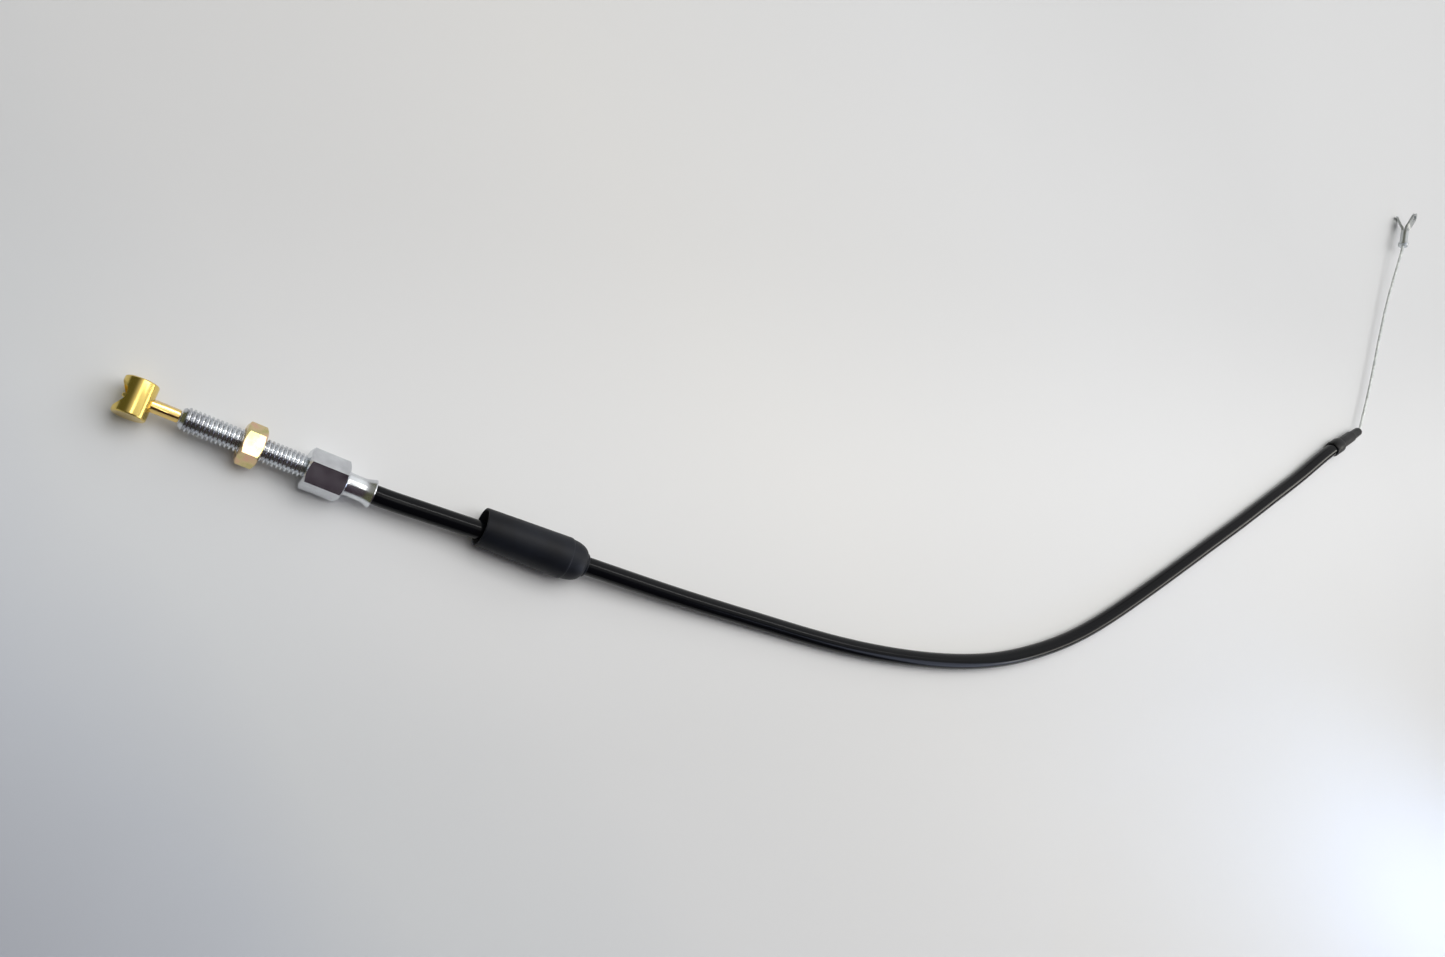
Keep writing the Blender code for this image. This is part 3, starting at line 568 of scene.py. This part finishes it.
# Bright zinc gives near-white and dark reflections side by side, dulled where it is stained.
zinc_mat, tree, shader = start_material("bright_zinc_plate", "#DCE0E3", 0.2, 1.0)
place = add(tree, "ShaderNodeTexCoord").outputs["Object"]
stain = noise(tree, place, 140.0, 5.0)
uneven_gloss(tree, shader, stain, 0.13, 0.32)
clouds = graded(tree, stain, ((0.35, "#C6C8CD"), (0.65, "#E4E8EB")))
tree.links.new(clouds, shader.inputs["Base Color"])
relief(tree, shader, noise(tree, place, 2200.0, 2.0), 0.05, 0.0001)


def hexagon(bm, start, length, across, corner):
    """Hexagonal bar about the X axis, with a corner at an angle from up towards -Y."""
    placed = Matrix.Translation((start + length / 2, 0, 0))
    placed = placed @ Matrix.Rotation(corner + math.pi / 6, 4, "X") @ Matrix.Rotation(math.pi / 2, 4, "Y")
    bmesh.ops.create_cone(bm, cap_ends=True, segments=6, radius1=across / math.sqrt(3),
                          radius2=across / math.sqrt(3), depth=length, matrix=placed)


bm = bmesh.new()
tooth = [(0.0, 3.2), (0.1, 3.22), (0.18, 3.32), (0.44, 3.87), (0.5, 3.95), (0.56, CREST_R),
         (0.9, CREST_R), (0.96, 3.95), (1.02, 3.87), (1.28, 3.32), (1.36, 3.22), (PITCH, 3.2)]
verts = [bm.verts.new((12.6 + x, 0, r)) for x, r in tooth]
edges = [bm.edges.new(pair) for pair in zip(verts, verts[1:])]
turns, steps = 30, 40
bmesh.ops.spin(bm, geom=verts + edges, cent=(0, 0, 0), axis=(1, 0, 0), angle=2 * math.pi * turns,
               steps=turns * steps, dvec=(PITCH / steps, 0, 0))
bmesh.ops.remove_doubles(bm, verts=bm.verts, dist=0.002)
for vert in bm.verts:
    room = min(2.95 + max(0.0, vert.co.x - THREAD_START) * 0.75, CREST_R,
               3.1 + max(0.0, HEX_START - vert.co.x) * 0.9)
    if vert.co.yz.length > room:
        vert.co.yz *= room / vert.co.yz.length
for stop, side in ((THREAD_START, -1), (54.55, 1)):
    bmesh.ops.bisect_plane(bm, geom=bm.verts[:] + bm.edges[:] + bm.faces[:], plane_co=(stop, 0, 0),
                           plane_no=(side, 0, 0), clear_outer=True)
bmesh.ops.remove_doubles(bm, verts=bm.verts, dist=0.002)
bmesh.ops.holes_fill(bm, edges=[e for e in bm.edges if e.is_boundary], sides=0)
bmesh.ops.recalc_face_normals(bm, faces=bm.faces)
thread = loose(bm, "adjuster_thread")

bm = bmesh.new()
hexagon(bm, HEX_START, HEX_LENGTH, ACROSS_FLATS, HEX_ROLL)
head = loose(bm, "adjuster_hexagon")
bm = bmesh.new()
turn_solid(bm, [(HEX_START, 0), (HEX_START, 5.95), (55.35, CORNER_R), (67.25, CORNER_R),
                (HEX_END, 5.95), (HEX_END, 0)], 96)
cone = loose(bm, "hexagon_cone")
bm = bmesh.new()
turn_solid(bm, [(60.0, 0), (60.0, 4.0), (68.0, 4.0), (68.35, 4.1), (69.4, 4.1), (70.3, 3.98),
                (74.2, 3.98), (75.2, 4.1), (76.0, 4.33), (76.8, 4.58), (77.5, 4.82), (77.8, 4.93),
                (MOUTH_X, 4.9), (MOUTH_X, 0)], 96)
for vert in bm.verts:
    if 69.5 < vert.co.x < 75.0 and vert.co.yz.length > 2:
        turned_to = math.atan2(vert.co.y, vert.co.z) + math.radians(20)
        vert.co.yz *= min(1.0, 3.9 / max(0.2, abs(math.cos(turned_to))) / vert.co.yz.length)
tail = loose(bm, "adjuster_tail")
bm = bmesh.new()
turn_solid(bm, [(10.0, 0), (10.0, BORE_R), (58.0, BORE_R), (58.0, 3.6), (75.8, 3.6), (76.9, 4.05),
                (77.4, 4.45), (80.0, 4.45), (80.0, 0)], 48)
bore = loose(bm, "adjuster_bore")
bm = carve(head, [(cone, "INTERSECT"), (tail, "UNION"), (thread, "UNION"), (bore, "DIFFERENCE")])
adjuster = settle(bm, "adjuster", zinc_mat, 30, base=at(0, 0, AXIS_HEIGHT))
break_edges(adjuster, "rolled_edges", 0.00012, 50)
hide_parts("adjuster_bolt")
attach(adjuster, "cable")

# Lock nut
# A thin steel nut with both faces chamfered, plated and yellow passivated, so its faces shift
# between straw, olive and pink.
# The thin film over bright zinc colours its reflections, more in some patches than in others.
nut_mat, tree, shader = start_material("yellow_passivate", "#C9AE62", 0.22, 1.0)
place = add(tree, "ShaderNodeTexCoord").outputs["Object"]
film = graded(tree, noise(tree, place, 260.0, 3.0),
              ((0.3, "#C6BE7C"), (0.5, "#DFC896"), (0.7, "#E6B59A")))
tree.links.new(film, shader.inputs["Base Color"])
NUT_START, NUT_END, NUT_LENGTH = 33.2, 39.9, 6.7
NUT_ROLL = math.radians(-25.2)
bm = bmesh.new()
hexagon(bm, NUT_START, NUT_LENGTH, ACROSS_FLATS, NUT_ROLL)
block = loose(bm, "nut_block")
bm = bmesh.new()
turn_solid(bm, [(NUT_START, 0), (NUT_START, 5.9), (34.1, CORNER_R), (39.0, CORNER_R),
                (NUT_END, 5.9), (NUT_END, 0)], 96)
lens = loose(bm, "nut_lens")
bm = bmesh.new()
turn_solid(bm, [(32.0, 0), (32.0, 4.8), (NUT_START, 4.8), (33.8, 4.25), (39.3, 4.25),
                (NUT_END, 4.8), (41.0, 4.8), (41.0, 0)], 64)
hole = loose(bm, "nut_hole")
bm = carve(block, [(lens, "INTERSECT"), (hole, "DIFFERENCE")])
nut = settle(bm, "lock_nut", nut_mat, 30, base=at(0, 0, AXIS_HEIGHT))
break_edges(nut, "plated_edges", 0.00015, 25)
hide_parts("adjuster_lock_nut")
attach(nut, "lock_nut")


def lay_along(bm, start, axis):
    """Move a shape made along X to a start point and direction."""
    side = axis.cross(Vector((0, 0, 1))).normalized()
    up = side.cross(axis).normalized()
    basis = Matrix((axis, -side, up)).transposed().to_4x4()
    bmesh.ops.transform(bm, matrix=Matrix.Translation(start) @ basis, verts=bm.verts)


# Rubber boot
# A moulded nitrile boot that slides up over the adjuster to keep water out. Its wall is thin
# at the open mouth, its closed end is domed, and a small neck grips the sheath.
# Nitrile is blue-black and matt, with a faint bloom and a broad soft highlight.
boot_mat, tree, shader = start_material("moulded_nitrile", "#1B1E25", 0.5)
shader.inputs["Specular IOR Level"].default_value = 0.22
place = add(tree, "ShaderNodeTexCoord").outputs["Object"]
dusty = graded(tree, noise(tree, place, 90.0, 5.0), ((0.35, "#0D0F15"), (0.75, "#171B24")))
tree.links.new(dusty, shader.inputs["Base Color"])
relief(tree, shader, noise(tree, place, 1500.0, 3.0), 0.12, 0.0002)
BOOT_MOUTH = Vector((117.4, 3.6, 7.0))
BOOT_AXIS = Vector((1.0, 0.0207, 0.8 / 33.2)).normalized()
dome = [(33.2 + 0.4 + 6.9 * math.sin(a), 4.35 + 3.1 * math.cos(a)) for a in
        (math.radians(7.5 * k) for k in range(1, 11))]
bm = bmesh.new()
turn(bm, [(0.0, 6.75), (0.12, 6.93), (0.35, 7.0), (16.0, 7.4), (32.6, 7.8), (33.1, 7.78),
          (33.4, 7.68), (33.5, 7.56)] + dome
     + [(40.55, 4.5), (40.7, 4.35), (41.3, 4.35), (41.5, 4.2), (41.5, 3.85), (39.3, 3.85),
        (37.5, 5.0), (35.2, 5.2), (33.0, 6.6), (0.3, 6.2), (0.0, 6.4)], 96)
lay_along(bm, BOOT_MOUTH, BOOT_AXIS)
boot = settle(bm, "adjuster_boot", boot_mat, 35)
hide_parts("rubber_boot")
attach(boot, "boot")

# End ferrule
# A moulded black acetal ferrule in three steps: a collar over the sheath, a middle that sits
# in the cable stop, and a nose that guides the bare wire.
# Acetal is flat black, with a dull sheen along the shoulder of each step.
acetal_mat, tree, shader = start_material("moulded_acetal", "#0F0F11", 0.4)
shader.inputs["Specular IOR Level"].default_value = 0.25
place = add(tree, "ShaderNodeTexCoord").outputs["Object"]
mould = noise(tree, place, 500.0, 4.0)
uneven_gloss(tree, shader, mould, 0.36, 0.5)
relief(tree, shader, mould, 0.08, 0.0002)
bm = bmesh.new()
turn(bm, [(0.0, 3.75), (0.15, 3.95), (0.6, 4.2), (7.3, 4.2), (7.8, 4.0), (8.0, 3.7), (8.0, 3.25),
          (8.3, 3.2), (20.2, 3.12), (20.7, 2.95), (21.3, 2.6), (28.0, 2.4), (28.6, 2.2),
          (FERRULE_LENGTH, 1.9), (FERRULE_LENGTH, BORE_R), (7.0, BORE_R), (7.0, 3.7)], 64)
lay_along(bm, ferrule_start, FERRULE_AXIS)
ferrule = settle(bm, "sheath_ferrule", acetal_mat, 40)
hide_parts("end_ferrule")
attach(ferrule, "cable")

# Fork
# A small fork of plain steel: a stem swaged on the wire, with a lip, and two ears of 1.2 mm
# sheet that splay apart, with an eye for the pin in each.
# Plain steel is grey, and its blurred glints break over the scale marks.
fork_mat, tree, shader = start_material("dull_fork_steel", "#C0C4C5", 0.34, 1.0)
place = add(tree, "ShaderNodeTexCoord").outputs["Object"]
scale_marks = noise(tree, place, 350.0, 4.0)
uneven_gloss(tree, shader, scale_marks, 0.25, 0.5)
relief(tree, shader, scale_marks, 0.15, 0.0002)
fork_side = fork_axis.cross(Vector((0, 0, 1))).normalized()
fork_up = fork_side.cross(fork_axis).normalized()
splay = fork_up * math.cos(FORK_ROLL) + fork_side * math.sin(FORK_ROLL)
across = fork_axis.cross(splay)
fork_basis = Matrix((fork_axis, across, splay)).transposed().to_4x4()
bm = bmesh.new()
turn_solid(bm, [(0.0, 0), (0.0, 2.35), (0.35, 2.75), (0.7, 2.8), (1.5, 2.8), (1.9, 2.5), (2.2, 2.1),
                (9.6, 2.1), (10.8, 1.9), (11.5, 1.4), (11.6, 0)], 48)
stem = loose(bm, "fork_stem")
EAR_LENGTH, EAR_WIDTH, SHEET = 14.2, 5.2, 1.2
EYE_R, EYE_X = 1.4, 20.1
ears = []
for sign in (1, -1):
    bm = bmesh.new()
    bmesh.ops.create_cube(bm, size=1.0)
    bmesh.ops.scale(bm, verts=bm.verts, vec=(EAR_LENGTH, EAR_WIDTH, SHEET))
    lengthwise = [e for e in bm.edges if abs(e.verts[0].co.x - e.verts[1].co.x) > 1]
    bmesh.ops.subdivide_edges(bm, edges=lengthwise, cuts=27)
    bmesh.ops.translate(bm, verts=bm.verts, vec=(4.7, 0, 0))
    for vert in bm.verts:
        u = vert.co.x
        half = 2.6 if u < 9.2 else math.sqrt(max(0.02, 6.76 - (u - 9.2) ** 2))
        half = min(half, 1.68 + max(0.0, u) * 0.3)
        vert.co.y = math.copysign(half, vert.co.y)
        lift = 0.8 if u < 0.4 else 0.8 + 0.44 * (u - 0.4) * min(1.0, (u - 0.4) / 3.0) * 0.87
        vert.co.z = sign * (lift + vert.co.z)
    bmesh.ops.recalc_face_normals(bm, faces=bm.faces)
    bmesh.ops.translate(bm, verts=bm.verts, vec=(11.0, 0, 0))
    ears.append(loose(bm, "fork_ear"))
bm = bmesh.new()
bmesh.ops.create_cone(bm, cap_ends=True, segments=40, radius1=EYE_R, radius2=EYE_R, depth=20,
                      matrix=Matrix.Translation((EYE_X, 0, 0)))
eye_tool = loose(bm, "fork_eye")
bm = carve(stem, [(ears[0], "UNION"), (ears[1], "UNION"), (eye_tool, "DIFFERENCE")])
bmesh.ops.transform(bm, matrix=Matrix.Translation(fork_start) @ fork_basis, verts=bm.verts)
fork = settle(bm, "wire_fork", fork_mat, 35)
break_edges(fork, "tumbled_edges", 0.0002, 40)
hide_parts("fork_end")
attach(fork, "rear_wire")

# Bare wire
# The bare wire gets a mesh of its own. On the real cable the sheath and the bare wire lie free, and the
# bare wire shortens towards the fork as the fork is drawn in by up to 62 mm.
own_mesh(bare_wire)
